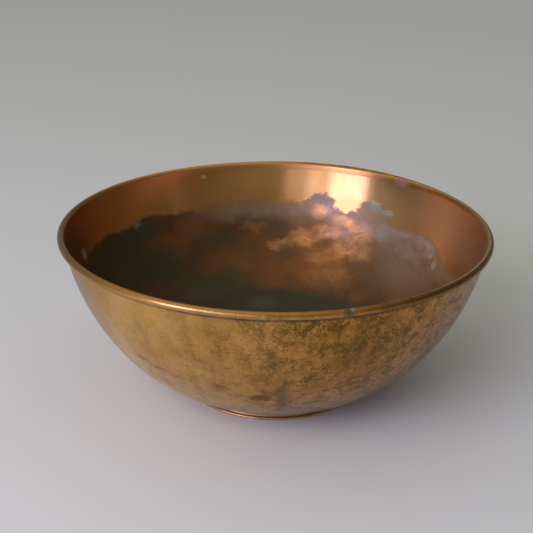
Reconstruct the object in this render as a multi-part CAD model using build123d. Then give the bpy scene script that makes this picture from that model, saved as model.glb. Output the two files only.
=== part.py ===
"""A wide brass urli bowl: a raised sheet body with a wired rim, standing on a soldered foot ring.

Frame: +Z up, origin at the centre of the foot's rest plane, all sizes in millimetres.
Every piece is turned about Z, so each one is a closed outline in (radius, height) that is revolved.
"""

from build123d import *
import math
import os

# Overall sizes
RIM_DIAMETER = 305.0  # over the rolled rim
HEIGHT = 121.0  # rest plane to the crown of the rim

# Body sheet
SHEET = 1.2  # thickness of the brass sheet
BASE_CLEARANCE = 3.0  # rest plane to the underside of the flat base
KNUCKLE_RADIUS = 50.0  # outside radius of the turn from the base into the wall
KNUCKLE_ANGLE = 19.5  # slope of the wall where the knuckle ends, degrees from level
BELLY_ANGLE = 50.0  # slope of the wall where the lower wall arc meets the upper one
LIP_ANGLE = 80.6  # slope of the wall where the rim roll starts

# Wired rim
WIRE_DIAMETER = 2.5
WIRE_CLEARANCE = 0.05  # all round the wire, inside the roll
WIRE_BUTT_GAP = 1.0  # left between the wire's two ends
WIRE_BUTT_AZIMUTH = 56.0  # where that gap lies, degrees from +X
ROLL_GAP = 0.12  # raw edge of the roll to the outside of the wall

# Foot ring
FOOT_DIAMETER = 131.0  # over the bead at the bottom of the foot
FOOT_WALL = 3.2  # thickness of the foot above its bead
FOOT_BEAD_HEIGHT = 2.2  # a half-round bead, resting on the ground
FOOT_COVE_RADIUS = 0.9  # hollow between the bead and the neck above it
FLAT_BASE_INSET = 18.5  # foot's outside to the edge of the flat base, per side
FOOT_CHAMFER = 0.4  # at the lower edge of the foot's bore

# Soft solder
SOLDER_FILM = 0.15  # between the foot and the body
SOLDER_FILLET_OUT = 0.5  # leg of the outside fillet, along the foot
SOLDER_FILLET_IN = 1.6  # leg of the inside fillet, along the foot

RIM_RADIUS = RIM_DIAMETER / 2
FOOT_RADIUS = FOOT_DIAMETER / 2
FLAT_BASE_RADIUS = FOOT_RADIUS - FLAT_BASE_INSET
ROLL_BORE_RADIUS = WIRE_DIAMETER / 2 + WIRE_CLEARANCE
ROLL_RADIUS = ROLL_BORE_RADIUS + SHEET
ROLL_CENTRE = (RIM_RADIUS - ROLL_RADIUS, HEIGHT - ROLL_RADIUS)
FOOT_BEAD_CENTRE = (FOOT_RADIUS - FOOT_BEAD_HEIGHT / 2, FOOT_BEAD_HEIGHT / 2)
FOOT_NECK_RADIUS = FOOT_BEAD_CENTRE[0] - FOOT_COVE_RADIUS
FOOT_BORE_RADIUS = FOOT_NECK_RADIUS - FOOT_WALL


def sin(degrees):
    return math.sin(math.radians(degrees))


def cos(degrees):
    return math.cos(math.radians(degrees))


def wall_radii():
    """Outside radii of the lower and upper wall arcs, which bring the wall tangent to the rim roll."""
    lip_r = ROLL_CENTRE[0] - ROLL_BORE_RADIUS * sin(LIP_ANGLE)
    lip_z = ROLL_CENTRE[1] + ROLL_BORE_RADIUS * cos(LIP_ANGLE)
    run = lip_r - FLAT_BASE_RADIUS - KNUCKLE_RADIUS * sin(KNUCKLE_ANGLE)
    rise = lip_z - BASE_CLEARANCE - KNUCKLE_RADIUS * (1 - cos(KNUCKLE_ANGLE))
    lower_run = sin(BELLY_ANGLE) - sin(KNUCKLE_ANGLE)
    upper_run = sin(LIP_ANGLE) - sin(BELLY_ANGLE)
    lower_rise = cos(KNUCKLE_ANGLE) - cos(BELLY_ANGLE)
    upper_rise = cos(BELLY_ANGLE) - cos(LIP_ANGLE)
    scale = lower_run * upper_rise - upper_run * lower_rise
    lower = (run * upper_rise - upper_run * rise) / scale
    upper = (lower_run * rise - run * lower_rise) / scale
    return lower, upper


def wall_arcs():
    """(centre, outside radius, start slope, end slope) of the body's arcs, from the base up to the rim."""
    lower, upper = wall_radii()
    arcs = []
    foot_of_arc = (FLAT_BASE_RADIUS, BASE_CLEARANCE)
    slopes = (0.0, KNUCKLE_ANGLE, BELLY_ANGLE, LIP_ANGLE)
    for radius, start, end in zip((KNUCKLE_RADIUS, lower, upper), slopes, slopes[1:]):
        centre = (foot_of_arc[0] - radius * sin(start), foot_of_arc[1] + radius * cos(start))
        arcs.append((centre, radius, start, end))
        foot_of_arc = (centre[0] + radius * sin(end), centre[1] - radius * cos(end))
    return arcs


def wall_edges(inset):
    """The body's skin from the axis to the rim roll, moved inward from the outside face by inset."""
    base_z = BASE_CLEARANCE + inset
    edges = [Line((0, base_z), (FLAT_BASE_RADIUS, base_z))]
    for centre, radius, start, end in wall_arcs():
        edges.append(CenterArc(centre, radius - inset, start - 90, end - start))
    return edges


def roll_end_angle():
    """Where the roll's raw edge stops, just clear of the outside of the wall."""
    from_wall = math.degrees(math.acos((ROLL_BORE_RADIUS - ROLL_GAP) / ROLL_RADIUS))
    return LIP_ANGLE - 270 + from_wall


def turned(edges):
    """The solid swept by a closed (radius, height) outline in one turn about Z."""
    return revolve(Plane.XZ * make_face(edges), Axis.Z)


def bowl_body():
    """Raised sheet with its edge rolled outward, down and under, round the rim wire."""
    roll_start = LIP_ANGLE + 90
    roll_turn = roll_end_angle() - roll_start
    bore = CenterArc(ROLL_CENTRE, ROLL_BORE_RADIUS, roll_start, roll_turn)
    crown = CenterArc(ROLL_CENTRE, ROLL_RADIUS, roll_start, roll_turn)
    raw_edge = Line(bore @ 1, crown @ 1)
    bottom = Line((0, BASE_CLEARANCE), (0, BASE_CLEARANCE + SHEET))
    return turned([*wall_edges(0), bore, raw_edge, crown, *wall_edges(SHEET), bottom])


def rim_wire():
    """Round wire held in the roll. Its ends meet at a small butt gap."""
    gap_angle = math.degrees(WIRE_BUTT_GAP / ROLL_CENTRE[0])
    section = Plane.XZ * (Location((*ROLL_CENTRE, 0)) * Circle(WIRE_DIAMETER / 2))
    ring = revolve(section, Axis.Z, revolution_arc=360 - gap_angle)
    return ring.rotate(Axis.Z, WIRE_BUTT_AZIMUTH + gap_angle / 2)


def under_body(drop):
    """The space inside the body's outside face moved outward by drop, up to the lower wall arc's end."""
    edges = wall_edges(-drop)[:3]
    top_r, top_z = (edges[-1] @ 1).X, (edges[-1] @ 1).Y
    edges += [Line((top_r, top_z), (0, top_z)), Line((0, top_z), (0, BASE_CLEARANCE - drop))]
    return make_face(edges)


def skin_height(radius):
    """Height of the body's outside face at a radius from the axis."""
    if radius <= FLAT_BASE_RADIUS:
        return BASE_CLEARANCE
    for centre, arc_radius, _, end in wall_arcs():
        if radius <= centre[0] + arc_radius * sin(end):
            return centre[1] - math.sqrt(arc_radius**2 - (radius - centre[0]) ** 2)
    return ROLL_CENTRE[1]


def foot_blank():
    """Outline of the foot before its top is cut to the body: a bead, a cove, a neck and a plain bore."""
    bead_r, (bead_x, _) = FOOT_BEAD_HEIGHT / 2, FOOT_BEAD_CENTRE
    neck_bottom = FOOT_BEAD_HEIGHT + FOOT_COVE_RADIUS
    neck_top = skin_height(FOOT_NECK_RADIUS) + SHEET
    return make_face(
        [
            Line((FOOT_BORE_RADIUS + FOOT_CHAMFER, 0), (bead_x, 0)),
            CenterArc(FOOT_BEAD_CENTRE, bead_r, -90, 180),
            CenterArc((bead_x, neck_bottom), FOOT_COVE_RADIUS, -90, -90),
            Line((FOOT_NECK_RADIUS, neck_bottom), (FOOT_NECK_RADIUS, neck_top)),
            Line((FOOT_NECK_RADIUS, neck_top), (FOOT_BORE_RADIUS, neck_top)),
            Line((FOOT_BORE_RADIUS, neck_top), (FOOT_BORE_RADIUS, FOOT_CHAMFER)),
            Line((FOOT_BORE_RADIUS, FOOT_CHAMFER), (FOOT_BORE_RADIUS + FOOT_CHAMFER, 0)),
        ]
    )


def foot_section():
    """The foot's outline with its top cut to follow the knuckle of the body, a solder film below it."""
    return foot_blank() - under_body(SOLDER_FILM)


def foot_ring():
    """Cast and turned ring that the bowl stands on."""
    return revolve(Plane.XZ * foot_section(), Axis.Z)


def foot_solder():
    """Soft solder: the film on top of the foot and a fillet on each side of it."""
    out_r = FOOT_NECK_RADIUS + SOLDER_FILLET_OUT
    in_r = FOOT_BORE_RADIUS - SOLDER_FILLET_IN
    out_z = skin_height(FOOT_NECK_RADIUS) - SOLDER_FILM - SOLDER_FILLET_OUT
    in_z = skin_height(FOOT_BORE_RADIUS) - SOLDER_FILM - SOLDER_FILLET_IN
    top_z = skin_height(out_r) + SHEET
    blank = make_face(
        Polyline(
            (FOOT_BORE_RADIUS, in_z),
            (FOOT_NECK_RADIUS, out_z),
            (out_r, skin_height(out_r)),
            (out_r, top_z),
            (in_r, top_z),
            (in_r, skin_height(in_r)),
            close=True,
        )
    )
    section = blank - under_body(0) - foot_section()
    return revolve(Plane.XZ * section, Axis.Z)


PIECES = {
    "bowl_body": bowl_body,
    "rim_wire": rim_wire,
    "foot_ring": foot_ring,
    "foot_solder": foot_solder,
}

os.makedirs("parts", exist_ok=True)
for name, make in PIECES.items():
    export_step(make(), f"parts/{name}.step")
print("wall arcs", [round(radius, 2) for _, radius, _, _ in wall_arcs()])
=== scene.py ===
"""An aged brass urli bowl: raised sheet, wired rim, soldered foot, and the stains of long use."""

import math

import bpy
from bpy.props import FloatProperty, FloatVectorProperty, IntProperty, PointerProperty
from mathutils import Matrix, Vector


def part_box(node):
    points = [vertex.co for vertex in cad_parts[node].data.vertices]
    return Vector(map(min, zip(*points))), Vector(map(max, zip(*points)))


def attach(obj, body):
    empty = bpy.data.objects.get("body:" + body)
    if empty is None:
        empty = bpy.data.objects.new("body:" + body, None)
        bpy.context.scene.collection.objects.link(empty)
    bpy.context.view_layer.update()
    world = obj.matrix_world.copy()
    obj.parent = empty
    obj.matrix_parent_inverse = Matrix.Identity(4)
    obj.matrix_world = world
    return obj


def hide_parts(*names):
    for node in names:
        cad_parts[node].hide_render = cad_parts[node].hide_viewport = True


bl_info = {
    "name": "Brass Urli Bowl",
    "version": (1, 0, 0),
    "blender": (4, 5, 0),
    "location": "3D View > Sidebar > Urli",
    "description": "Builds an aged brass urli bowl on its packed model",
    "category": "Add Mesh",
}

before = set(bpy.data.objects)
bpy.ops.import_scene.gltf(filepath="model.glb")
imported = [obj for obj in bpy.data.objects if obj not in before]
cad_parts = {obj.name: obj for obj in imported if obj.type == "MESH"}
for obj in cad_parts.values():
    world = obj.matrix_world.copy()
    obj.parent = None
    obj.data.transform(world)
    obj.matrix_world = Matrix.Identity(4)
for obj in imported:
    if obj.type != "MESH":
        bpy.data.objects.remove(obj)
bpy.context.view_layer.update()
BODY_LOW, BODY_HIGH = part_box("bowl_body")
WIRE_LOW, WIRE_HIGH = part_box("rim_wire")
FOOT_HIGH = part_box("foot_ring")[1]


# ---- sizes and colours a user may change


def metres(name, description, default, **limits):
    """A length setting."""
    return FloatProperty(name=name, description=description, default=default, unit="LENGTH", **limits)


def degrees(name, description, default):
    """An angle setting, given here in degrees."""
    return FloatProperty(name=name, description=description, default=math.radians(default), subtype="ANGLE")


def colour(name, description, default):
    """A colour setting."""
    return FloatVectorProperty(
        name=name, description=description, default=default, subtype="COLOR", size=3, min=0, max=1
    )


class BodySizes(bpy.types.PropertyGroup):
    """Shape of the raised sheet and of its rolled rim."""

    sheet: metres("Sheet", "Thickness of the brass sheet", 0.0012)
    knuckle_radius: metres("Knuckle radius", "Turn from the flat base into the wall", 0.050)
    knuckle_angle: degrees("Knuckle angle", "Slope of the wall where the knuckle ends", 19.5)
    belly_angle: degrees("Belly angle", "Slope of the wall where its two arcs meet", 50.0)
    lip_angle: degrees("Lip angle", "Slope of the wall where the rim roll starts", 80.6)
    flat_base_inset: metres("Flat base inset", "Outside of the foot to the edge of the flat base", 0.0185)
    roll_gap: metres("Roll gap", "Raw edge of the roll to the wall", 0.00012)
    rim_lift: metres("Rim lift", "How much the rim rises where the bowl was knocked", 0.0012)
    rim_oval: metres("Rim oval", "How far the rim is out of round", 0.0008)
    planish_depth: metres("Planishing", "Depth of the soft unevenness that the hammer left", 0.00006)
    turns: IntProperty(name="Turns", description="Faces round the bowl", default=336, min=48)


class FootSizes(bpy.types.PropertyGroup):
    """Shape of the foot ring."""

    bead: metres("Bead", "Height of the bead that the bowl stands on", 0.0022)
    cove: metres("Cove", "Radius of the hollow above the bead", 0.0009)
    wall: metres("Wall", "Thickness of the foot above its bead", 0.0032)
    film: metres("Solder film", "Solder between the foot and the body", 0.00015)
    turns: IntProperty(name="Turns", description="Faces round the foot", default=288, min=48)


class CrustSettings(bpy.types.PropertyGroup):
    """Verdigris grains inside the bowl."""

    grain: metres("Grain", "Half width of the largest grain", 0.00032)
    density: FloatProperty(name="Density", description="Grains per square millimetre", default=8.0, min=0)
    seed: IntProperty(name="Seed", description="Another number gives another scatter", default=4)


class FinishColours(bpy.types.PropertyGroup):
    """Colours of the brass, of its stains and of the other metals."""

    bright: colour("Bright brass", "Brass that is rubbed clean", (0.82, 0.548, 0.22))
    aged: colour("Aged brass", "Brass under a thin golden brown film", (0.78, 0.446, 0.122))
    honey: colour("Honey film", "Thicker brown film, deeper in colour", (0.49, 0.200, 0.036))
    olive: colour("Olive tarnish", "Greenish brown tarnish outside", (0.140, 0.080, 0.014))
    dusty: colour("Dusty film", "Dull pinkish film low on the outside", (0.47, 0.300, 0.135))
    brown: colour("Brown tarnish", "Dark film below the water line", (0.105, 0.045, 0.013))
    warm: colour("Warm tarnish", "Orange brown film below the water line", (0.26, 0.095, 0.020))
    black: colour("Black tarnish", "Green black film where water stood longest", (0.046, 0.050, 0.018))
    smoke: colour("Smoky film", "Grey brown haze just below the water line", (0.35, 0.210, 0.105))
    haze: colour("Grey haze", "Cool grey scum", (0.36, 0.300, 0.245))
    copper: colour("Copper blush", "Copper laid bare where the film is thin", (0.90, 0.405, 0.120))
    verdigris: colour("Verdigris", "Blue green corrosion", (0.26, 0.33, 0.28))
    crust: colour("Crust", "Pale grains of verdigris", (0.33, 0.47, 0.41))
    lime: colour("Limescale", "Pale crust left by water", (0.15, 0.140, 0.080))
    red: colour("Red stain", "Cuprite red spots and streaks", (0.32, 0.070, 0.028))
    plum: colour("Plum stain", "Purple brown marks on the rim", (0.34, 0.145, 0.125))
    grime: colour("Grime", "Dirt in creases", (0.045, 0.026, 0.010))
    iron: colour("Iron wire", "Black annealed wire", (0.10, 0.085, 0.075))
    tin: colour("Tin solder", "Oxidised solder", (0.36, 0.35, 0.32))


class StudioSettings(bpy.types.PropertyGroup):
    """Floor, window and camera."""

    floor: colour("Floor", "Plain pale floor", (0.69, 0.705, 0.67))
    window: FloatProperty(name="Window", description="Strength of the window light", default=1.0)
    glow: FloatProperty(name="Window glow", description="Soft window light on the floor", default=3.7)
    room: FloatProperty(name="Room", description="Strength of the light from the room", default=1.12)
    floor_reach: metres("Floor reach", "Half the side of the floor", 6.0)
    lens: FloatProperty(name="Lens", description="Focal length", default=75.0, unit="CAMERA")
    distance: metres("Distance", "Camera to the middle of the rim", 0.7835)
    aim: FloatVectorProperty(
        name="Aim",
        description="Point that the camera looks at",
        default=(-0.0059, -0.0103, 0.0927),
        unit="LENGTH",
    )
    rise: degrees("Rise", "Height of the camera above the rim, as an angle", 19.84)
    roll: degrees("Roll", "Tilt of the camera about its own axis", 0.85)


# ---- node graphs


class Graph:
    """Adds nodes to a tree. An input is a plain value or another node's output."""

    def __init__(self, tree):
        self.tree = tree

    def add(self, kind, inputs=None, **settings):
        node = self.tree.nodes.new(kind)
        for name, value in settings.items():
            setattr(node, name, value)
        for key, value in (inputs or {}).items():
            self.feed(node.inputs[key], value)
        return node

    def feed(self, socket, value):
        if isinstance(value, bpy.types.NodeSocket):
            self.tree.links.new(value, socket)
        else:
            socket.default_value = value

    def math(self, operation, first, second=0.0, third=0.0, clamp=False):
        kind = "ShaderNodeMath"
        node = self.add(kind, {0: first, 1: second, 2: third}, operation=operation, use_clamp=clamp)
        return node.outputs[0]

    def vector(self, operation, first, second=(0, 0, 0), output=0):
        node = self.add("ShaderNodeVectorMath", {0: first, 1: second}, operation=operation)
        return node.outputs[output]

    def scaled(self, vector, amount):
        return self.add("ShaderNodeVectorMath", {0: vector, "Scale": amount}, operation="SCALE").outputs[0]

    def position(self):
        return self.add("GeometryNodeInputPosition").outputs[0]

    def stored(self, name):
        return self.add("GeometryNodeInputNamedAttribute", {0: name}, data_type="FLOAT").outputs[0]

    def split(self, vector):
        return self.add("ShaderNodeSeparateXYZ", {0: vector}).outputs

    def join(self, x=0.0, y=0.0, z=0.0):
        return self.add("ShaderNodeCombineXYZ", {0: x, 1: y, 2: z}).outputs[0]

    def ramp(self, value, low, high, to_low=0.0, to_high=1.0, smooth=True):
        inputs = {"Value": value, "From Min": low, "From Max": high, "To Min": to_low, "To Max": to_high}
        kind = "SMOOTHSTEP" if smooth else "LINEAR"
        return self.add("ShaderNodeMapRange", inputs, interpolation_type=kind).outputs[0]

    def noise(self, vector, scale, detail=3.0, roughness=0.55, distortion=0.0, output=0):
        inputs = {"Vector": vector, "Scale": scale, "Detail": detail, "Roughness": roughness}
        inputs["Distortion"] = distortion
        return self.add("ShaderNodeTexNoise", inputs).outputs[output]

    def sway(self, vector, scale, amount, detail):
        """Noise that swings about zero."""
        return self.times(self.minus(self.noise(vector, scale, detail=detail), 0.5), amount)

    def mix(self, factor, low, high):
        return self.add("ShaderNodeMix", {0: factor, 6: low, 7: high}, data_type="RGBA").outputs[2]

    def blend(self, factor, low, high):
        return self.add("ShaderNodeMix", {0: factor, 2: low, 3: high}).outputs[0]

    def plus(self, first, second, clamp=False):
        return self.math("ADD", first, second, clamp=clamp)

    def minus(self, first, second):
        return self.math("SUBTRACT", first, second)

    def times(self, *values):
        result = values[0]
        for value in values[1:]:
            result = self.math("MULTIPLY", result, value)
        return result

    def use(self, name, **inputs):
        """The outputs of a shader node group; an input's spaces are written as underscores."""
        inputs = {key.replace("_", " "): value for key, value in inputs.items()}
        return self.add("ShaderNodeGroup", inputs, node_tree=bpy.data.node_groups[name]).outputs


def new_group(name, kind, inputs, outputs):
    """A node group with named sockets, and its graph, input node and output node."""
    tree = bpy.data.node_groups.new(name, kind)
    for direction, sockets in (("INPUT", inputs), ("OUTPUT", outputs)):
        for label, (socket_type, *default) in sockets.items():
            socket = tree.interface.new_socket(label, in_out=direction, socket_type=socket_type)
            if default:
                socket.default_value = default[0]
    graph = Graph(tree)
    return graph, graph.add("NodeGroupInput").outputs, graph.add("NodeGroupOutput").inputs


MM = 0.001
FLOAT, INT, VECTOR = "NodeSocketFloat", "NodeSocketInt", "NodeSocketVector"
COLOUR, GEOMETRY, MATERIAL = "NodeSocketColor", "NodeSocketGeometry", "NodeSocketMaterial"


# ---- shapes


def arc(centre, radius, start, end, count):
    """Points on an arc in (radius, height), angles in radians, both ends included."""
    steps = (start + (end - start) * i / count for i in range(count + 1))
    return [(centre[0] + radius * math.cos(a), centre[1] + radius * math.sin(a)) for a in steps]


def line(first, last, count):
    """Points along a straight run, both ends included."""
    return [tuple(a + (b - a) * i / count for a, b in zip(first, last)) for i in range(count + 1)]


def chain(*runs):
    """Runs joined end to end, each shared point kept once."""
    points = []
    for run in runs:
        points += [p for p in run if not points or math.dist(p, points[-1]) > 1e-7]
    return points


def wall_arcs(body):
    """(centre, radius, start slope, end slope) of the outside of the wall, from the base up to the rim."""
    sin, cos = math.sin, math.cos
    knuckle, belly, lip = body.knuckle_angle, body.belly_angle, body.lip_angle
    base = (FOOT_HIGH.x - body.flat_base_inset, BODY_LOW.z)
    bore = (WIRE_HIGH.z - WIRE_LOW.z) / 2 + roll_clearance(body)
    centre = roll_centre(body)
    run = centre[0] - bore * sin(lip) - base[0] - body.knuckle_radius * sin(knuckle)
    rise = centre[1] + bore * cos(lip) - base[1] - body.knuckle_radius * (1 - cos(knuckle))
    low_run, high_run = sin(belly) - sin(knuckle), sin(lip) - sin(belly)
    low_rise, high_rise = cos(knuckle) - cos(belly), cos(belly) - cos(lip)
    scale = low_run * high_rise - high_run * low_rise
    lower = (run * high_rise - high_run * rise) / scale
    upper = (low_run * rise - run * low_rise) / scale
    arcs = []
    slopes = (0.0, knuckle, belly, lip)
    for radius, start, end in zip((body.knuckle_radius, lower, upper), slopes, slopes[1:]):
        middle = (base[0] - radius * sin(start), base[1] + radius * cos(start))
        arcs.append((middle, radius, start, end))
        base = (middle[0] + radius * sin(end), middle[1] - radius * cos(end))
    return arcs


def roll_clearance(body):
    """Space between the wire and the inside of the roll."""
    return BODY_HIGH.z - body.sheet - WIRE_HIGH.z


def roll_centre(body):
    """Middle of the rim roll in (radius, height)."""
    roll = (WIRE_HIGH.z - WIRE_LOW.z) / 2 + roll_clearance(body) + body.sheet
    return (BODY_HIGH.x - roll, BODY_HIGH.z - roll)


def body_outline(body):
    """The sheet's section: up the inside, round the roll, back inside the roll and down the outside."""
    bore = (WIRE_HIGH.z - WIRE_LOW.z) / 2 + roll_clearance(body)
    roll = bore + body.sheet
    centre = roll_centre(body)
    start = body.lip_angle + math.pi / 2
    end = start - 2 * math.pi + math.acos((bore - body.roll_gap) / roll)
    quarter = math.pi / 2
    arcs = wall_arcs(body)
    base_edge = arcs[0][0][0]
    inside = [line((0, BODY_LOW.z + body.sheet), (base_edge, BODY_LOW.z + body.sheet), 16)]
    outside = [line((0, BODY_LOW.z), (base_edge, BODY_LOW.z), 8)]
    for (middle, radius, low, high), steps in zip(arcs, (14, 34, 44)):
        inside.append(arc(middle, radius - body.sheet, low - quarter, high - quarter, steps))
        outside.append(arc(middle, radius, low - quarter, high - quarter, steps))
    raw_edge = line(
        (centre[0] + roll * math.cos(end), centre[1] + roll * math.sin(end)),
        (centre[0] + bore * math.cos(end), centre[1] + bore * math.sin(end)),
        1,
    )
    crown = arc(centre, roll, start, end, 40)
    bore_back = arc(centre, bore, end, start, 14)
    points = chain(*inside, crown, raw_edge, bore_back, *(run[::-1] for run in outside[::-1]))
    return points, len(chain(*inside))


def skin_height(radius, body):
    """Height of the body's outside face at a radius."""
    for middle, arc_radius, _, end in wall_arcs(body):
        if radius <= middle[0] + arc_radius * math.sin(end):
            return middle[1] - math.sqrt(arc_radius**2 - (radius - middle[0]) ** 2)
    return BODY_HIGH.z


def foot_radii(foot):
    """Radii of the foot's bead centre, neck and bore."""
    bead = FOOT_HIGH.x - foot.bead / 2
    return bead, bead - foot.cove, bead - foot.cove - foot.wall


def foot_outline(body, foot):
    """Section of the foot ring, clockwise from the outside of its neck."""
    bead, neck, bore = foot_radii(foot)
    break_edge = 0.0003
    top = [(r, skin_height(r, body) - foot.film) for r, _ in line((bore, 0), (neck, 0), 8)]
    quarter = math.pi / 2
    return chain(
        top,
        line(top[-1], (neck, foot.bead + foot.cove), 3),
        arc((bead, foot.bead + foot.cove), foot.cove, -2 * quarter, -quarter, 8),
        arc((bead, foot.bead / 2), foot.bead / 2, quarter, -quarter, 16),
        line((bead, 0), (bore + break_edge, 0), 6),
        arc((bore + break_edge, break_edge), break_edge, -quarter, -2 * quarter, 4),
        line((bore, break_edge), top[0], 4),
    )


def outline_mesh(name, points, closed, inside_points=0):
    """A chain of edges in the XZ plane. The first points may be marked as lying inside the bowl."""
    mesh = bpy.data.meshes.new(name)
    count = len(points)
    edges = [(i, (i + 1) % count) for i in range(count if closed else count - 1)]
    mesh.from_pydata([(r, 0, z) for r, z in points], edges, [])
    marks = mesh.attributes.new("inside", "FLOAT", "POINT")
    marks.data.foreach_set("value", [1.0 if i < inside_points else 0.0 for i in range(count)])
    return mesh


# ---- geometry node trees


def from_point(g, geometry, value, index, kind):
    """A value read from one point of a mesh."""
    inputs = {"Geometry": geometry, "Index": index}
    node = g.add("GeometryNodeSampleIndex", inputs, data_type=kind, domain="POINT")
    g.feed(node.inputs["Value"], value)
    return node.outputs[0]


def keep(g, geometry, name, value, kind, domain):
    """Geometry with a value stored on it under a name."""
    inputs = {"Geometry": geometry, "Name": name, "Value": value}
    return g.add("GeometryNodeStoreNamedAttribute", inputs, data_type=kind, domain=domain).outputs[0]


def turning_tree():
    """Turns an outline about the upright axis, then knocks it a little out of true."""
    g, given, result = new_group(
        "Turned On Its Axis",
        "GeometryNodeTree",
        {
            "Outline": (GEOMETRY,),
            "Turns": (INT, 256),
            "Closed Outline": ("NodeSocketBool", False),
            "Rim Height": (FLOAT, 0.121),
            "Rim Lift": (FLOAT, 0.0),
            "Rim Oval": (FLOAT, 0.0),
            "Planishing": (FLOAT, 0.0),
            "Finish": (MATERIAL,),
        },
        {"Turned Piece": (GEOMETRY,)},
    )
    points = g.add("GeometryNodeAttributeDomainSize", {0: given["Outline"]}, component="MESH").outputs[0]
    rows = g.plus(points, given["Closed Outline"])
    grid = g.add("GeometryNodeMeshGrid", {0: 1.0, 1: 1.0, 2: g.plus(given["Turns"], 1.0), 3: rows})
    place = g.split(g.position())
    angle = g.times(g.plus(place[0], 0.5), 2 * math.pi)
    row = g.times(g.plus(place[1], 0.5), g.minus(rows, 1.0))
    index = g.math("MODULO", g.math("ROUND", row), points)
    radius, _, height = g.split(from_point(g, given["Outline"], g.position(), index, "FLOAT_VECTOR"))
    facing = from_point(g, given["Outline"], g.stored("inside"), index, "FLOAT")
    turned = g.join(
        g.times(radius, g.math("COSINE", angle)),
        g.times(radius, g.math("SINE", angle)),
        height,
    )
    named = keep(g, grid.outputs[0], "UVMap", grid.outputs["UV Map"], "FLOAT2", "CORNER")
    sided = keep(g, named, "inside", facing, "FLOAT", "POINT")
    swept = g.add("GeometryNodeSetPosition", {0: sided, "Position": turned})
    closed = g.add("GeometryNodeMergeByDistance", {0: swept.outputs[0], "Distance": 1e-6})
    knocked = g.add("GeometryNodeSetPosition", {0: closed.outputs[0], "Offset": knock_offset(g, given)})
    outward = g.add("GeometryNodeFlipFaces", {0: knocked.outputs[0]})
    corner = g.add("GeometryNodeInputMeshEdgeAngle").outputs["Unsigned Angle"]
    smooth = g.add("GeometryNodeSetShadeSmooth", {0: outward.outputs[0], "Shade Smooth": True}, domain="FACE")
    sharp = g.add(
        "GeometryNodeSetShadeSmooth",
        {0: smooth.outputs[0], "Selection": g.math("GREATER_THAN", corner, 0.6), "Shade Smooth": False},
        domain="EDGE",
    )
    real = g.add("GeometryNodeRealizeInstances", {0: sharp.outputs[0]})
    done = g.add("GeometryNodeSetMaterial", {0: real.outputs[0], "Material": given["Finish"]})
    g.feed(result[0], done.outputs[0])
    return g.tree


# Where the rim was knocked up, and where it is widest, as azimuths in degrees
KNOCK_AZIMUTH, WIDEST_AZIMUTH = 67.0, 80.0


def knock_offset(g, given):
    """Offset that lifts one stretch of rim, makes the rim oval and leaves soft hammer marks."""
    here = g.position()
    x, y, z = g.split(here)
    share = g.math("POWER", g.math("DIVIDE", z, given["Rim Height"], clamp=True), 3.0)
    angle = g.math("ARCTAN2", y, x)
    lift = g.math("COSINE", g.minus(angle, math.radians(KNOCK_AZIMUTH)))
    lift = g.math("POWER", g.math("MAXIMUM", lift, 0.0), 6.0)
    lift = g.times(lift, share, given["Rim Lift"])
    oval = g.math("COSINE", g.times(g.minus(angle, math.radians(WIDEST_AZIMUTH)), 2.0))
    oval = g.times(oval, share, given["Rim Oval"])
    dents = g.minus(g.noise(here, 38.0, detail=1.0), 0.5)
    dents = g.times(dents, given["Planishing"], 2.0)
    outward = g.vector("NORMALIZE", g.join(x, y, 0.0))
    amount = g.plus(oval, dents)
    return g.vector("ADD", g.scaled(outward, amount), g.join(0.0, 0.0, lift))


def grown(name, mesh, tree, finish, **sizes):
    """A plain mesh object made from a base mesh by a geometry node tree, with the modifier removed."""
    piece = bpy.data.objects.new(name, mesh)
    bpy.context.scene.collection.objects.link(piece)
    modifier = piece.modifiers.new("Making", "NODES")
    modifier.node_group = tree
    sockets = {s.name: s.identifier for s in tree.interface.items_tree if s.in_out == "INPUT"}
    for label, value in {**sizes, "Finish": finish}.items():
        modifier[sockets[label]] = value
    shown = piece.evaluated_get(bpy.context.evaluated_depsgraph_get())
    made = bpy.data.meshes.new_from_object(shown, depsgraph=bpy.context.evaluated_depsgraph_get())
    piece.modifiers.remove(modifier)
    piece.data = made
    made.name = name
    return piece


def crust_tree():
    """Scatters small flattened grains over a mesh, more of them where its growth is strong."""
    g, given, result = new_group(
        "Crust Grains",
        "GeometryNodeTree",
        {
            "Ground": (GEOMETRY,),
            "Grains Per Area": (FLOAT, 3.0e6),
            "Grain Size": (FLOAT, 0.0003),
            "Seed": (INT, 4),
            "Finish": (MATERIAL,),
        },
        {"Crust": (GEOMETRY,)},
    )
    growth = g.stored("growth")
    clump = g.ramp(g.noise(g.position(), 420.0, detail=3.0), 0.45, 0.60)
    density = g.times(growth, clump, given["Grains Per Area"])
    spread = g.add("GeometryNodeDistributePointsOnFaces", {"Mesh": given["Ground"], "Seed": given["Seed"]})
    g.feed(spread.inputs["Density"], density)
    ball = g.add("GeometryNodeMeshIcoSphere", {"Radius": 1.0, "Subdivisions": 1})
    smooth = g.add("GeometryNodeSetShadeSmooth", {0: ball.outputs[0]})
    size = g.add("FunctionNodeRandomValue", {2: 0.35, 3: 1.0, "Seed": given["Seed"]}, data_type="FLOAT")
    across = g.times(size.outputs[1], given["Grain Size"])
    grains = g.add(
        "GeometryNodeInstanceOnPoints",
        {
            "Points": spread.outputs["Points"],
            "Instance": smooth.outputs[0],
            "Rotation": spread.outputs["Rotation"],
            "Scale": g.join(across, g.times(across, 0.8), g.times(across, 0.45)),
        },
    )
    real = g.add("GeometryNodeRealizeInstances", {0: grains.outputs[0]})
    painted = g.add("GeometryNodeSetMaterial", {0: real.outputs[0], "Material": given["Finish"]})
    g.feed(result[0], painted.outputs[0])
    return g.tree


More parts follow.
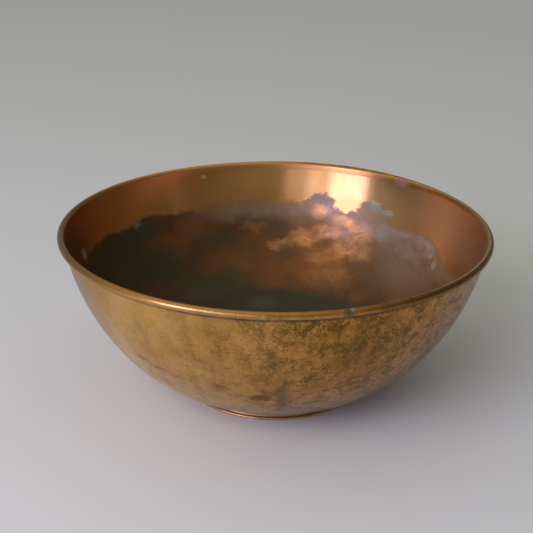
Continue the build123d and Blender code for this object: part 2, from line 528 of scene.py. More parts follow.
def crust_ground(spots, steps=8):
    """Small patches of the inner skin on which crust grows, with a growth that fades to their edges."""
    points, growth, faces = [], [], []
    for azimuth, height, (along, _, up), strength in spots:
        height, along, up = height * MM, along * MM, up * MM
        reach = math.hypot(*wall_point(azimuth, height)[:2])
        turn = math.degrees(along / reach)
        first = len(points)
        for i in range(steps + 1):
            for j in range(steps + 1):
                u, v = 2 * i / steps - 1, 2 * j / steps - 1
                points.append(wall_point(azimuth + u * turn, height + v * up))
                growth.append(strength * max(0.0, 1.0 - math.hypot(u, v)))
        for i in range(steps):
            for j in range(steps):
                corner = first + i * (steps + 1) + j
                faces.append((corner, corner + 1, corner + steps + 2, corner + steps + 1))
    mesh = bpy.data.meshes.new("crust ground")
    mesh.from_pydata(points, [], faces)
    mesh.attributes.new("growth", "FLOAT", "POINT").data.foreach_set("value", growth)
    return mesh


# ---- finishes


def rgba(rgb):
    """A colour with full cover."""
    return (*rgb, 1.0)


def new_finish(name):
    """An empty material: its graph, its principled shader and its object coordinates."""
    material = bpy.data.materials.new(name)
    material.use_nodes = True
    material.node_tree.nodes.clear()
    g = Graph(material.node_tree)
    shader = g.add("ShaderNodeBsdfPrincipled")
    output = g.add("ShaderNodeOutputMaterial")
    g.tree.links.new(shader.outputs[0], output.inputs[0])
    here = g.add("ShaderNodeTexCoord").outputs["Object"]
    return material, g, shader, here


def relief(g, shader, height, distance):
    """Feeds a height into the shader's normal."""
    bump = g.add("ShaderNodeBump", {"Height": height, "Distance": distance, "Strength": 1.0})
    g.feed(shader.inputs["Normal"], bump.outputs[0])


def ragged(g, here, grain=120.0, amount=0.010, detail=4.0):
    """A position shifted at random, so that shapes drawn round it get ragged edges."""
    cloud = g.noise(here, grain, detail=detail, roughness=0.6, output=1)
    wander = g.vector("SUBTRACT", cloud, (0.5, 0.5, 0.5))
    return g.vector("ADD", here, g.scaled(wander, amount))


def patch_group():
    """A rounded spot round one point: 1 inside it, 0 outside."""
    g, given, result = new_group(
        "Stain Patch",
        "ShaderNodeTree",
        {
            "Place": (VECTOR,),
            "Centre": (VECTOR,),
            "Size": (VECTOR, (0.01, 0.01, 0.01)),
            "Softness": (FLOAT, 0.35),
        },
        {"Mask": (FLOAT,)},
    )
    away = g.vector("DIVIDE", g.vector("SUBTRACT", given["Place"], given["Centre"]), given["Size"])
    distance = g.vector("LENGTH", away, output=1)
    low = g.minus(1.0, given["Softness"])
    high = g.plus(1.0, given["Softness"])
    g.feed(result[0], g.ramp(distance, low, high, 1.0, 0.0))


def brass_group():
    """Old brass: colour that drifts between two shades, its gloss, and its fine relief."""
    g, given, result = new_group(
        "Old Brass",
        "ShaderNodeTree",
        {
            "Position": (VECTOR,),
            "Bright": (COLOUR,),
            "Aged": (COLOUR,),
            "Drift Scale": (FLOAT, 24.0),
            "Gloss": (FLOAT, 0.2),
            "Scratches": (FLOAT, 0.5),
        },
        {"Colour": (COLOUR,), "Roughness": (FLOAT,), "Height": (FLOAT,)},
    )
    here = given["Position"]
    x, y, z = g.split(here)
    drift = g.ramp(g.noise(here, given["Drift Scale"], detail=4.0, roughness=0.6), 0.35, 0.68)
    drips = g.noise(g.join(x, y, g.times(z, 0.12)), 130.0, detail=3.0, roughness=0.6)
    fine = g.noise(here, 700.0, detail=2.0)
    shade = g.plus(g.times(drift, 0.6), g.times(g.minus(drips, 0.3), 0.8))
    shade = g.plus(shade, g.times(g.minus(fine, 0.5), 0.35), clamp=True)
    g.feed(result["Colour"], g.mix(shade, given["Aged"], given["Bright"]))
    radius = axis_distance(g, x, y)
    rings = g.noise(g.join(radius, 0.0, z), 900.0, detail=2.0, roughness=0.7)
    hoops = g.times(rings, g.ramp(drift, 0.2, 0.9), given["Scratches"])
    g.feed(result["Height"], g.plus(g.times(hoops, 0.4), g.times(fine, 0.3)))
    rough = g.plus(given["Gloss"], g.times(g.minus(0.6, drift), 0.08))
    rough = g.plus(rough, g.times(g.minus(fine, 0.5), 0.10), clamp=True)
    g.feed(result["Roughness"], rough)


def mottle_group():
    """Tarnish in soft blotches, in thin curled veins, and in bright curls between them. On the outside they
    also stand in for a reflected rug, with the curls as painted highlights.
    """
    g, given, result = new_group(
        "Tarnish Mottle",
        "ShaderNodeTree",
        {
            "Position": (VECTOR,),
            "Blotch Scale": (FLOAT, 70.0),
            "Vein Scale": (FLOAT, 150.0),
            "Vein Width": (FLOAT, 0.06),
            "Warp": (FLOAT, 0.008),
        },
        {"Blotches": (FLOAT,), "Veins": (FLOAT,), "Curls": (FLOAT,)},
    )
    here = given["Position"]
    warped = ragged(g, here, 90.0, given["Warp"], 2.0)
    cloud = g.noise(warped, given["Blotch Scale"], detail=4.0, roughness=0.65)
    g.feed(result["Blotches"], g.ramp(cloud, 0.44, 0.64))
    web = g.noise(warped, given["Vein Scale"], detail=2.0)
    ridge = g.math("ABSOLUTE", g.minus(web, 0.47))
    broken = g.ramp(cloud, 0.40, 0.56, 0.25, 1.0)
    g.feed(result["Veins"], g.times(g.ramp(ridge, 0.0, given["Vein Width"], 1.0, 0.0), broken))
    crest = g.math("ABSOLUTE", g.minus(web, 0.58))
    g.feed(result["Curls"], g.ramp(crest, 0.0, given["Vein Width"], 1.0, 0.0))


def pits_group():
    """Small round pits and specks, scattered at random."""
    g, given, result = new_group(
        "Pits",
        "ShaderNodeTree",
        {"Position": (VECTOR,), "Scale": (FLOAT, 300.0), "Share": (FLOAT, 0.2), "Width": (FLOAT, 0.3)},
        {"Mask": (FLOAT,)},
    )
    cells = g.add("ShaderNodeTexVoronoi", {"Vector": given["Position"], "Scale": given["Scale"]})
    red = g.add("ShaderNodeSeparateColor", {0: cells.outputs["Color"]}).outputs[0]
    chosen = g.math("LESS_THAN", red, given["Share"])
    spot = g.ramp(cells.outputs["Distance"], g.times(given["Width"], 0.4), given["Width"], 1.0, 0.0)
    g.feed(result[0], g.times(chosen, spot))


def build_groups():
    """Builds the shader node groups that several finishes share."""
    for build in (patch_group, brass_group, mottle_group, pits_group):
        build()


def wall_point(azimuth, height, inside=True):
    """A point on the wall, from its azimuth in degrees and its height."""
    body = bpy.context.scene.urli_body
    inset = body.sheet if inside else 0.0
    for middle, radius, _, end in wall_arcs(body):
        radius -= inset
        if height <= middle[1] - radius * math.cos(end):
            break
    reach = middle[0] + math.sqrt(max(0.0, radius**2 - (middle[1] - height) ** 2))
    turn = math.radians(azimuth)
    return (reach * math.cos(turn), reach * math.sin(turn), height)


class Coat:
    """Layers of stain painted over each other: colour, roughness, metal and relief together."""

    def __init__(self, g, colour, roughness, metallic, height):
        self.g = g
        self.colour, self.roughness, self.metallic, self.height = colour, roughness, metallic, height

    def layer(self, mask, colour=None, roughness=None, metallic=None, lift=None):
        """Paints over the coat where the mask is 1. What isn't given stays as it was."""
        g = self.g
        if colour is not None:
            colour = colour if isinstance(colour, bpy.types.NodeSocket) else rgba(colour)
            self.colour = g.mix(mask, self.colour, colour)
        if roughness is not None:
            self.roughness = g.blend(mask, self.roughness, roughness)
        if metallic is not None:
            self.metallic = g.blend(mask, self.metallic, metallic)
        if lift is not None:
            self.height = g.plus(self.height, g.times(mask, lift))

    def apply(self, shader, distance):
        """Feeds the coat into a shader, its relief as deep as the distance."""
        self.g.feed(shader.inputs["Base Color"], self.colour)
        self.g.feed(shader.inputs["Roughness"], self.roughness)
        self.g.feed(shader.inputs["Metallic"], self.metallic)
        relief(self.g, shader, self.height, distance)


def patch(g, place, azimuth, height, size, inside=True, soft=0.35):
    """Mask of one stain on the wall, its height and half sizes in millimetres."""
    centre = wall_point(azimuth, height * MM, inside)
    size = [half * MM for half in size]
    return g.use("Stain Patch", Place=place, Centre=centre, Size=size, Softness=soft)[0]


def paint_stains(coat, table, place, soft, cover, *finish, inside=True, lift=None):
    """Layers every stain of a table over a coat, where the cover mask lets it show."""
    for azimuth, height, size, strength in table:
        spot = patch(coat.g, place, azimuth, height, size, inside, soft)
        coat.layer(coat.g.times(spot, cover, strength), *finish, lift=lift)


def brass_coat(g, here, colours, gloss, scratches=0.5):
    """A coat of plain old brass, for stains to be painted on."""
    bright, aged = rgba(colours.bright), rgba(colours.aged)
    brass = g.use("Old Brass", Position=here, Bright=bright, Aged=aged, Gloss=gloss, Scratches=scratches)
    return Coat(g, brass["Colour"], brass["Roughness"], 1.0, brass["Height"])


def axis_distance(g, x, y):
    """Distance from the bowl's upright axis."""
    return g.vector("LENGTH", g.join(x, y, 0.0), output=1)


# Stains on the wall: azimuth in degrees, height and half sizes along X, Y and Z in millimetres, and strength
OLIVE_SHADES = (
    (-87, 45, (4.5, 20, 34), 0.6),
    (-67, 88, (22, 20, 20), 0.4),
)
WORN_SPECKLE = ((-94, 105, (20, 20, 4.5), 0.8),)
GRIMY_MARKS = ((-94, 46, (6, 10, 3.5), 0.7),)
OUTSIDE_RED = (
    (-130.5, 63, (5.5, 6, 2), 0.75),
    (-125, 59, (6, 6, 1.8), 0.8),
    (-119, 55.3, (5.5, 6, 1.5), 0.6),
    (-106, 55, (4.5, 6, 2.2), 0.9),
)
FILM_PEAKS = (
    (75, 91.5, (11.5, 10, 6.6), 1),
    (55.5, 89.5, (12.5, 12, 8), 1),
)
WARM_CLOUDS = (
    (121, 77, (12, 12, 9), 0.7),
    (129, 65, (16, 16, 9), 0.7),
    (108, 47, (30, 20, 10), 0.6),
    (86, 62, (40, 20, 16), 0.9),
    (60, 66, (30, 24, 18), 0.8),
    (72, 45, (30, 30, 14), 0.9),
)
COPPER_BLUSHES = (
    (74, 86, (7, 10, 4.5), 0.95),
    (65, 79, (10, 14, 4.5), 0.85),
    (58, 73, (10, 12, 7), 0.9),
    (70, 70, (11, 14, 4), 0.8),
    (79, 64, (11, 14, 5), 0.7),
    (89, 58, (9, 12, 3.5), 0.6),
    (60, 60, (13, 14, 6), 0.8),
    (70, 52, (14, 14, 5), 0.4),
    (66, 40, (20, 20, 6), 0.22),
    (98, 72, (9, 12, 3), 0.18),
)
DARK_CLOUDS = (
    (153, 76, (22, 30, 12), 0.9),
    (138, 82, (16, 16, 9), 0.75),
    (140, 56, (30, 30, 12), 0.8),
    (112, 62, (18, 18, 8), 0.7),
    (175, 60, (40, 50, 20), 0.8),
    (122, 34, (40, 30, 8), 0.7),
)
SMOKE_VEIL = ((32, 66, (48, 50, 26), 0.55),)
LIME_SPOT = ((96, 20.5, (11, 9, 4.5), 0.22),)
GREY_HAZES = (
    (46, 88, (14, 14, 6), 0.85),
    (38, 84, (14, 12, 5), 0.8),
    (30, 80, (14, 12, 6), 0.8),
    (52, 78, (16, 14, 5), 0.65),
    (66, 70, (14, 14, 4.5), 0.35),
    (40, 70, (22, 18, 6), 0.4),
    (30, 62, (24, 24, 10), 0.2),
    (70, 90.5, (10, 10, 4.5), 0.7),
)
VERDIGRIS = (
    (55.5, 95, (5.5, 6, 3.6), 0.65),
    (51, 92.5, (7, 7, 2.2), 0.5),
    (74, 95, (6, 6, 2.6), 0.35),
    (23, 71, (1.4, 3, 4.6), 0.65),
    (27, 76, (3, 3, 3), 0.4),
    (114, 112.7, (2.2, 2.4, 1.7), 0.5),
    (142, 87.3, (4, 4, 2.8), 0.4),
    (174, 89, (3, 4, 5), 0.45),
)


def outside_coat(g, here, colours):
    """The outside: golden brown, mottled and veined more and more towards its right and its foot. The
    darkening and heavier mottle towards the right are painted shade over real tarnish, and the mottle is
    partly a painted reflection of a patterned rug.
    """
    x, y, z = g.split(here)
    coat = brass_coat(g, here, colours, 0.24)
    place = ragged(g, here, 60.0, 0.012)
    swell = g.sway(place, 16.0, 0.06, 2.0)
    # Painted shade over real tarnish: the outside turns browner and its olive mottle stronger towards the
    # right, away from the window.
    right = g.ramp(g.plus(x, swell), -0.115, 0.045)
    edge = g.ramp(x, -0.148, -0.090, 0.95, 0.0)
    coat.layer(g.plus(g.plus(0.10, edge), g.times(right, 0.78), clamp=True), colours.honey)
    coat.layer(g.times(edge, 0.55), colours.olive)
    # Patina that is partly a painted reflection: the blotches and veins stand in for a patterned rug mirrored
    # in the brass, and the bright curls are painted highlights.
    mottle = g.use("Tarnish Mottle", Position=here, Blotch_Scale=105.0, Vein_Scale=200.0, Warp=0.006)
    strong = g.plus(0.12, g.times(right, 0.84))
    wide = g.ramp(g.noise(place, 32.0, detail=3.0), 0.40, 0.62)
    coat.layer(g.times(wide, strong, 0.42), colours.olive, 0.30)
    coat.layer(g.times(mottle["Blotches"], strong, 0.66), colours.olive, 0.32, lift=-0.1)
    drips = g.noise(g.join(x, y, g.times(z, 0.2)), 75.0, detail=3.0)
    coat.layer(g.times(g.ramp(drips, 0.48, 0.66), strong, 0.45), colours.olive)
    coat.layer(g.times(mottle["Curls"], strong, 0.40), colours.aged, 0.24)
    low = g.ramp(g.plus(z, g.times(swell, 0.5)), 0.012, 0.062, 1.0, 0.0)
    film = g.ramp(g.noise(place, 50.0, detail=4.0), 0.36, 0.6, 0.35, 1.0)
    coat.layer(g.times(low, film, 0.62), colours.dusty, 0.30)
    coat.layer(g.times(mottle["Veins"], strong, 0.45), colours.grime, 0.42, 0.85, lift=-0.25)
    pits = g.use("Pits", Position=here, Scale=260.0, Share=0.16, Width=0.32)[0]
    coat.layer(g.times(pits, strong, 0.6), colours.grime, 0.5, 0.7, lift=-0.4)
    paint_stains(coat, OLIVE_SHADES, place, 0.6, 1.0, colours.olive, inside=False)
    speckle = g.use("Pits", Position=here, Scale=620.0, Share=0.5, Width=0.35)[0]
    paint_stains(coat, WORN_SPECKLE, place, 0.6, speckle, colours.dusty, 0.45, inside=False, lift=-0.3)
    paint_stains(coat, GRIMY_MARKS, place, 0.5, 1.0, colours.grime, 0.5, inside=False)
    fine = ragged(g, here, 300.0, 0.004)
    paint_stains(coat, OUTSIDE_RED, fine, 0.6, 1.0, colours.red, 0.5, 0.5, inside=False)
    return coat


def water_line(g, here):
    """How deep a point lies under the uneven line that standing water left."""
    x, y, z = g.split(here)
    radius = axis_distance(g, x, y)
    tilt = g.math("DIVIDE", g.minus(g.times(y, 0.77), g.times(x, 0.64)), radius)
    line = g.plus(0.0868, g.times(tilt, 0.0025))
    line = g.minus(line, g.ramp(g.math("DIVIDE", x, radius), 0.87, 0.96, 0.0, 0.011))
    for scale, amount, detail in ((60.0, 0.011, 5.0), (210.0, 0.006, 3.0), (17.0, 0.010, 2.0)):
        line = g.plus(line, g.sway(here, scale, amount, detail))
    return g.minus(line, z)


def inside_coat(g, here, colours):
    """The inside: clean above the water line, and below it film, copper blushes and verdigris."""
    x, y, z = g.split(here)
    coat = brass_coat(g, here, colours, 0.12, scratches=0.6)
    coarse = ragged(g, here, 55.0, 0.022, 5.0)
    fine = ragged(g, here, 170.0, 0.007)
    torn = ragged(g, here, 110.0, 0.016, 4.0)
    cloud = g.noise(coarse, 34.0, detail=5.0, roughness=0.6)
    depth = water_line(g, here)
    warmed = g.ramp(depth, -0.020, 0.0, 0.0, 0.5)
    # Painted shade, partly honey tarnish: the band is browner on the left, where it mirrors the dim side of
    # the room.
    left = g.ramp(x, -0.095, -0.01, 1.0, 0.0)
    coat.layer(g.plus(0.50, g.times(left, 0.35)), colours.honey)
    coat.layer(left, roughness=0.26)
    ends = g.plus(g.ramp(x, 0.035, 0.10, 0.0, 0.62), g.ramp(x, -0.14, -0.10, 0.35, 0.0))
    coat.layer(ends, colours.dusty)
    coat.layer(g.ramp(x, 0.07, 0.13), roughness=0.36)
    coat.layer(g.ramp(x, 0.080, 0.135, 0.0, 0.50), colours.haze)
    coat.layer(g.times(warmed, g.ramp(cloud, 0.35, 0.6, 0.4, 1.0)), colours.honey, 0.20)
    middle = g.math("ABSOLUTE", g.plus(x, 0.025))
    crisp = g.times(depth, g.ramp(middle, 0.03, 0.07, 0.28, 1.0), g.ramp(x, 0.05, 0.11, 1.0, 0.45))
    stained = g.ramp(crisp, -0.0014, 0.0022)
    for azimuth, height, size, strength in FILM_PEAKS:
        peak = patch(g, torn, azimuth, height, size, soft=0.25)
        stained = g.math("MAXIMUM", stained, g.times(peak, strength))
    coat.layer(stained, colours.brown, 0.36, 0.80, lift=0.2)
    coat.layer(g.times(stained, g.ramp(cloud, 0.42, 0.62), 0.40), colours.warm, 0.34)
    paint_stains(coat, WARM_CLOUDS, coarse, 0.7, g.times(stained, 0.8), colours.warm, 0.34, 0.85)
    deep = g.ramp(g.noise(coarse, 24.0, detail=4.0, roughness=0.6), 0.48, 0.66)
    coat.layer(g.times(stained, deep, 0.6), colours.black, 0.36, 0.6)
    paint_stains(coat, DARK_CLOUDS, coarse, 0.6, stained, colours.black, 0.38, 0.6)
    under = g.times(stained, g.ramp(depth, 0.001, 0.018, 1.0, 0.0), g.ramp(x, -0.085, -0.03))
    coat.layer(g.times(under, 0.82), colours.smoke, 0.42, 0.55)
    frayed = ragged(g, here, 95.0, 0.016, 5.0)
    streak = g.vector("MULTIPLY", frayed, (1.0, 1.0, 2.4))
    thin = g.ramp(g.noise(streak, 60.0, detail=5.0, roughness=0.65), 0.36, 0.60, 0.32, 1.0)
    bare = g.times(stained, thin)
    paint_stains(coat, COPPER_BLUSHES, frayed, 0.75, bare, colours.copper, 0.34, 0.90, lift=-0.15)
    paint_stains(coat, SMOKE_VEIL, coarse, 0.5, stained, colours.smoke, 0.45, 0.6)
    wisps = g.ramp(g.noise(streak, 50.0, detail=5.0, roughness=0.65), 0.36, 0.60, 0.15, 1.0)
    paint_stains(coat, GREY_HAZES, frayed, 0.7, g.times(stained, wisps), colours.haze, 0.46, 0.40)
    wavy = g.plus(z, g.times(g.minus(cloud, 0.5), 0.012))
    floor = g.ramp(wavy, 0.024, 0.032, 1.0, 0.0)
    coat.layer(g.times(floor, 0.95), colours.black, 0.45, 0.60)
    coat.layer(g.times(floor, 0.70), colours.grime)
    pale = g.ramp(g.noise(here, 38.0, detail=5.0, roughness=0.6), 0.50, 0.62)
    coat.layer(g.times(g.ramp(z, 0.010, 0.020, 1.0, 0.0), pale, 0.5), colours.lime, 0.8, 0.0, lift=0.3)
    paint_stains(coat, LIME_SPOT, fine, 0.6, 1.0, colours.lime, 0.7, 0.1, lift=0.3)
    paint_stains(coat, VERDIGRIS, fine, 0.5, 1.0, colours.verdigris, 0.7, 0.05, lift=0.4)
    return coat


# Marks on the rim: azimuth in degrees, colour, reach along the rim in millimetres, and strength
RIM_MARKS = (
    (-76, "red", 3, 0.75),
    (-73, "grime", 4.2, 0.85),
    (-72.5, "verdigris", 2.2, 0.9),
    (-70.5, "red", 2.6, 0.75),
    (-64, "grime", 5, 0.45),
    (-83, "red", 2, 0.6),
    (-57, "grime", 2.2, 0.8),
    (47.5, "plum", 7, 0.7),
    (38, "plum", 4, 0.35),
)


def body_finish(colours):
    """Brass of the raised body: one coat inside, one outside, a rubbed bead with painted shade and a painted
    highlight, and grime with painted shade in the crease under the bead.
    """
    material, g, shader, here = new_finish("Aged Brass")
    body = bpy.context.scene.urli_body
    x, y, z = g.split(here)
    radius = axis_distance(g, x, y)
    side = g.add("ShaderNodeAttribute", attribute_name="inside").outputs["Fac"]
    outer, inner = outside_coat(g, here, colours), inside_coat(g, here, colours)
    coat = Coat(
        g,
        g.mix(side, outer.colour, inner.colour),
        g.blend(side, outer.roughness, inner.roughness),
        g.blend(side, outer.metallic, inner.metallic),
        g.blend(side, outer.height, inner.height),
    )
    centre = roll_centre(body)
    roll = BODY_HIGH.x - centre[0]
    section = g.join(radius, 0.0, z)
    from_roll = g.vector("DISTANCE", section, (centre[0], 0.0, centre[1]), output=1)
    bead = g.ramp(from_roll, roll * 1.05, roll * 1.35, 1.0, 0.0)
    rubbed = brass_coat(g, here, colours, 0.22)
    coat.layer(g.times(bead, 0.75), rubbed.colour, 0.22, 1.0)
    # Painted shade: the bead turns browner towards the right and olive at its right end. Olive on its left
    # end dims the window's highlight there.
    dull = g.ramp(x, -0.12, 0.09, 0.75, 0.95)
    coat.layer(g.times(bead, dull), colours.honey, 0.26)
    coat.layer(g.times(bead, g.ramp(x, 0.02, 0.10, 0.0, 0.85)), colours.olive, 0.30)
    coat.layer(g.times(bead, g.ramp(x, -0.145, -0.07, 0.65, 0.0)), colours.olive, 0.30)
    # Painted shade: the inner half of the crown is darkened brown, most at the front, where it mirrors the
    # dim side of the room.
    inner_crown_shade = g.ramp(radius, centre[0] - 0.4 * roll, centre[0] + 0.35 * roll, 1.0, 0.0)
    near = g.ramp(y, 0.02, 0.11, 1.0, 0.15)
    coat.layer(g.times(bead, inner_crown_shade, near, g.ramp(x, -0.12, 0.0, 0.8, 0.4)), colours.brown, 0.28)
    coat.layer(g.times(bead, g.ramp(y, 0.05, 0.13), 0.5), colours.copper, 0.24)
    # Painted highlight, partly real wear: a thin bright line along the crown's inner edge, stronger towards
    # the right.
    inner_edge = g.math("ABSOLUTE", g.minus(radius, centre[0] - 0.4 * roll))
    rubbed_edge_highlight = g.ramp(inner_edge, 0.0004, 0.0010, 1.0, 0.0)
    coat.layer(g.times(bead, rubbed_edge_highlight, g.ramp(x, 0.0, 0.10, 0.15, 0.6)), colours.bright, 0.22)
    fine = ragged(g, here, 300.0, 0.005)
    for azimuth, name, along, share in RIM_MARKS:
        turn = math.radians(azimuth)
        spot = (centre[0] * math.cos(turn), centre[0] * math.sin(turn), centre[1] + 0.001)
        size = (along * MM, along * MM, 0.0035)
        mark = g.use("Stain Patch", Place=fine, Centre=spot, Size=size, Softness=0.5)[0]
        coat.layer(g.times(mark, share), getattr(colours, name), 0.5, 0.5)
    # Painted shade with some grime: a dark band in the crease under the bead.
    end = body.lip_angle - 1.5 * math.pi + math.acos((roll - body.sheet - body.roll_gap) / roll)
    crease = (centre[0] + roll * math.cos(end), 0.0, centre[1] + roll * math.sin(end))
    dirt = g.ramp(g.vector("DISTANCE", section, crease, output=1), 0.0018, 0.0042, 1.0, 0.0)
    dirt = g.times(dirt, g.ramp(g.noise(here, 90.0, detail=3.0), 0.30, 0.62, 0.70, 1.0))
    coat.layer(g.times(dirt, g.minus(1.0, side)), colours.grime, 0.6, 0.25)
    coat.apply(shader, 0.00010)
    shader.inputs["Coat Roughness"].default_value = 0.30
    g.feed(shader.inputs["Coat Weight"], g.blend(side, 0.04, 0.24))
    return material


def foot_finish(colours):
    """Brass of the foot ring: dull in its cove, rubbed bright on its bead."""
    material, g, shader, here = new_finish("Foot Brass")
    z = g.split(here)[2]
    coat = brass_coat(g, here, colours, 0.25)
    mottle = g.use("Tarnish Mottle", Position=here, Blotch_Scale=90.0)
    coat.layer(g.times(mottle["Blotches"], 0.5), colours.olive, 0.45)
    dirt = g.ramp(z, 0.0042, 0.0056)
    coat.layer(g.times(dirt, 0.5), colours.grime, 0.5, 0.6)
    dull = g.ramp(z, 0.0008, 0.0018)
    coat.layer(g.times(dull, 0.8), colours.dusty, 0.32, 0.9)
    pits = g.use("Pits", Position=here, Scale=400.0, Share=0.2)[0]
    coat.layer(g.times(pits, 0.6), colours.grime, 0.6, 0.5, lift=-0.5)
    coat.apply(shader, 0.0001)
    return material


def crust_finish(colours):
    """Powdery grains of verdigris."""
    material, g, shader, here = new_finish("Verdigris Crust")
    shade = g.ramp(g.noise(here, 420.0, detail=3.0), 0.35, 0.65)
    powder = g.mix(shade, rgba(colours.verdigris), rgba(colours.crust))
    coat = Coat(g, powder, 0.85, 0.0, g.noise(here, 3000.0))
    dirt = g.use("Tarnish Mottle", Position=here, Blotch_Scale=260.0)
    coat.layer(g.times(dirt["Blotches"], 0.5), colours.smoke, 0.8)
    coat.apply(shader, 0.00005)
    return material


def iron_finish(colours):
    """Black annealed wire with a little rust."""
    material, g, shader, here = new_finish("Annealed Wire")
    rust = g.use("Tarnish Mottle", Position=here, Blotch_Scale=180.0)
    coat = Coat(g, rgba(colours.iron), 0.55, 0.8, g.noise(here, 900.0))
    coat.layer(g.times(rust["Blotches"], 0.8), colours.red, 0.8, 0.1, lift=0.4)
    coat.apply(shader, 0.00008)
    return material


def solder_finish(colours):
    """Dull tin solder, stained brown and green where it meets the brass."""
    material, g, shader, here = new_finish("Soft Solder")
    mottle = g.use("Tarnish Mottle", Position=here, Blotch_Scale=160.0)
    coat = Coat(g, rgba(colours.tin), 0.42, 0.9, g.noise(here, 600.0, detail=3.0))
    coat.layer(g.times(mottle["Blotches"], 0.7), colours.grime, 0.6, 0.3)
    green = g.ramp(g.noise(here, 140.0, detail=4.0), 0.56, 0.66)
    coat.layer(g.times(green, 0.5), colours.verdigris, 0.8, 0.0, lift=0.3)
    coat.apply(shader, 0.0001)
    return material


# ---- operators


# Upright strips of light: name, degrees to the left of the camera's side, degrees wide, and brightness
WINDOW_PANES = (
    ("lit wall", 12.5, 13.0, 0.55),
    ("near pane", 24.6, 9.6, 1.45),
    ("far pane", 45.0, 24.4, 3.2),
    ("doorway", -65.5, 2.5, 0.4),
)
PANE_ELEVATION, PANE_HEIGHT = 13.0, 34.0  # degrees, seen from the rim
SKY_LIGHT, GLOW_LIGHT, ROOM_LIGHT = (0.88, 0.86, 1.75), (1.0, 0.96, 0.91), (1.0, 0.975, 0.94)


class StudioOperator(bpy.types.Operator):
    """Sets the camera, the pale floor and the lights"""

    bl_idname = "urli.set_studio"
    bl_label = "Set Studio"

    def execute(self, context):
        settings = context.scene.urli_studio
        scene = context.scene
        camera = bpy.data.objects.new("camera", bpy.data.cameras.new("camera"))
        scene.collection.objects.link(camera)
        scene.camera = camera
        camera.data.lens = settings.lens
        rim = Vector((0, 0, BODY_HIGH.z))
        back = Vector((0, -math.cos(settings.rise), math.sin(settings.rise)))
        camera.location = rim + back * settings.distance
        look = (Vector(settings.aim) - camera.location).to_track_quat("-Z", "Y").to_matrix().to_4x4()
        turn = Matrix.Rotation(settings.roll, 4, "Z")
        camera.matrix_world = Matrix.Translation(camera.location) @ look @ turn
        floor = bpy.data.objects.new("floor", bpy.data.meshes.new("floor"))
        half = settings.floor_reach
        corners = [(-half, -half, 0), (half, -half, 0), (half, half, 0), (-half, half, 0)]
        floor.data.from_pydata(corners, [], [(0, 1, 2, 3)])
        scene.collection.objects.link(floor)
        material, _, shader, _ = new_finish("Pale Floor")
        shader.inputs["Base Color"].default_value = rgba(settings.floor)
        shader.inputs["Roughness"].default_value = 0.9
        floor.data.materials.append(material)
        scene.world = room_light(settings)
        scene.view_settings.view_transform = "Standard"
        for name, azimuth, width, brightness in WINDOW_PANES:
            pane = add_pane(name, azimuth, PANE_ELEVATION, width, PANE_HEIGHT, brightness * settings.window)
            pane.data.color = SKY_LIGHT
        glow = add_pane(
            "window glow", azimuth=38.0, elevation=32.0, wide=44.0, tall=30.0, brightness=settings.glow
        )
        glow.visible_glossy = False
        glow.data.color = GLOW_LIGHT
        return {"FINISHED"}


def room_light(settings):
    """A dim room with a bright ceiling, lighter on the window's side."""
    world = bpy.data.worlds.new("room")
    world.use_nodes = True
    g = Graph(world.node_tree)
    x, y, z = g.split(g.add("ShaderNodeTexCoord").outputs["Generated"])
    level = g.ramp(z, 0.40, 1.0, 0.28, 0.50)
    level = g.times(level, g.ramp(x, -1.0, 1.0, 1.40, 0.50, smooth=False))
    background = world.node_tree.nodes["Background"]
    background.inputs["Color"].default_value = rgba(ROOM_LIGHT)
    g.feed(background.inputs["Strength"], g.times(level, settings.room))
    return world


def add_pane(name, azimuth, elevation, wide, tall, brightness, distance=1.7):
    """A rectangular light that faces the bowl. Place and size are angles seen from the rim, in degrees."""
    light = bpy.data.lights.new(name, "AREA")
    light.shape = "RECTANGLE"
    light.size = 2 * distance * math.tan(math.radians(wide / 2))
    light.size_y = 2 * distance * math.tan(math.radians(tall / 2))
    light.energy = brightness * math.pi * light.size * light.size_y
    lamp = bpy.data.objects.new(name, light)
    bpy.context.scene.collection.objects.link(lamp)
    a, e = math.radians(azimuth), math.radians(elevation)
    away = Vector((-math.sin(a) * math.cos(e), -math.cos(a) * math.cos(e), math.sin(e)))
    lamp.location = Vector((0, 0, BODY_HIGH.z)) + away * distance
    lamp.rotation_euler = away.to_track_quat("Z", "Y").to_euler()
    lamp.visible_camera = False
    return lamp


class HiddenMetalOperator(bpy.types.Operator):
    """Gives the rim wire and the solder their finishes"""

    bl_idname = "urli.finish_hidden_metal"
    bl_label = "Finish Wire And Solder"

    def execute(self, context):
        colours = context.scene.urli_colours
        for node, finish in (("rim_wire", iron_finish), ("foot_solder", solder_finish)):
            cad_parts[node].material_slots[0].material = finish(colours)
        return {"FINISHED"}


class BodyOperator(bpy.types.Operator):
    """Raises the sheet and rolls its rim over the wire"""

    bl_idname = "urli.raise_body"
    bl_label = "Raise Body"

    def execute(self, context):
        body = context.scene.urli_body
        points, inside_points = body_outline(body)
        outline = outline_mesh("body outline", points, closed=False, inside_points=inside_points)
        piece = grown(
            "raised_body",
            outline,
            turning_tree(),
            body_finish(context.scene.urli_colours),
            **{
                "Turns": body.turns,
                "Rim Height": BODY_HIGH.z,
                "Rim Lift": body.rim_lift,
                "Rim Oval": body.rim_oval,
                "Planishing": body.planish_depth,
            },
        )
        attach(piece, "root")
        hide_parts("bowl_body")
        return {"FINISHED"}


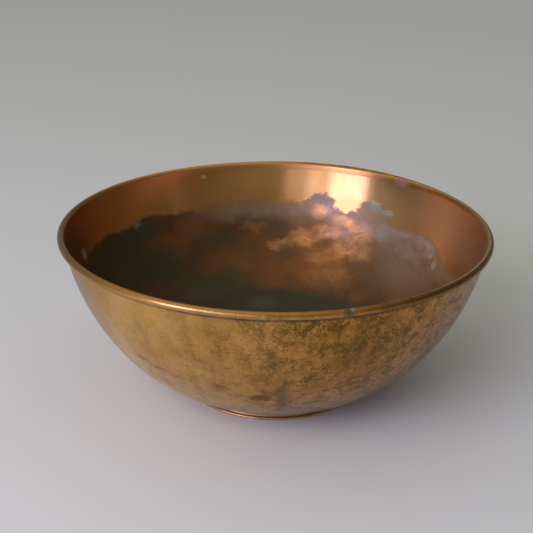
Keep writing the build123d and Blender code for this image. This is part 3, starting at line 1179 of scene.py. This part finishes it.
class CrustOperator(bpy.types.Operator):
    """Grows verdigris grains on the corroded spots inside the bowl"""

    bl_idname = "urli.grow_crust"
    bl_label = "Grow Crust"

    def execute(self, context):
        crust = context.scene.urli_crust
        ground = crust_ground(VERDIGRIS)
        piece = grown(
            "verdigris_crust",
            ground,
            crust_tree(),
            crust_finish(context.scene.urli_colours),
            **{"Grains Per Area": crust.density * 1.0e6, "Grain Size": crust.grain, "Seed": crust.seed},
        )
        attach(piece, "root")
        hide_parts("bowl_body")
        return {"FINISHED"}


class FootOperator(bpy.types.Operator):
    """Turns the foot ring"""

    bl_idname = "urli.turn_foot"
    bl_label = "Turn Foot"

    def execute(self, context):
        body, foot = context.scene.urli_body, context.scene.urli_foot
        outline = outline_mesh("foot outline", foot_outline(body, foot), closed=True)
        tree = bpy.data.node_groups["Turned On Its Axis"]
        piece = grown(
            "turned_foot",
            outline,
            tree,
            foot_finish(context.scene.urli_colours),
            **{"Turns": foot.turns, "Closed Outline": True, "Rim Height": BODY_HIGH.z},
        )
        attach(piece, "root")
        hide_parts("foot_ring")
        return {"FINISHED"}


STEPS = (StudioOperator, BodyOperator, CrustOperator, FootOperator, HiddenMetalOperator)


class UrliPanel(bpy.types.Panel):
    """Lists the steps that build the bowl."""

    bl_idname = "VIEW3D_PT_urli"
    bl_label = "Brass Urli Bowl"
    bl_space_type = "VIEW_3D"
    bl_region_type = "UI"
    bl_category = "Urli"

    def draw(self, context):
        for step in STEPS:
            self.layout.operator(step.bl_idname)


SETTINGS = {
    "urli_body": BodySizes,
    "urli_foot": FootSizes,
    "urli_crust": CrustSettings,
    "urli_colours": FinishColours,
    "urli_studio": StudioSettings,
}
CLASSES = (*SETTINGS.values(), *STEPS, UrliPanel)


def register():
    for item in CLASSES:
        bpy.utils.register_class(item)
    for name, group in SETTINGS.items():
        setattr(bpy.types.Scene, name, PointerProperty(type=group))


def unregister():
    for name in SETTINGS:
        delattr(bpy.types.Scene, name)
    for item in reversed(CLASSES):
        bpy.utils.unregister_class(item)


def main():
    register()
    build_groups()
    for step in STEPS:
        area, name = step.bl_idname.split(".")
        getattr(getattr(bpy.ops, area), name)()


if __name__ == "__main__":
    main()
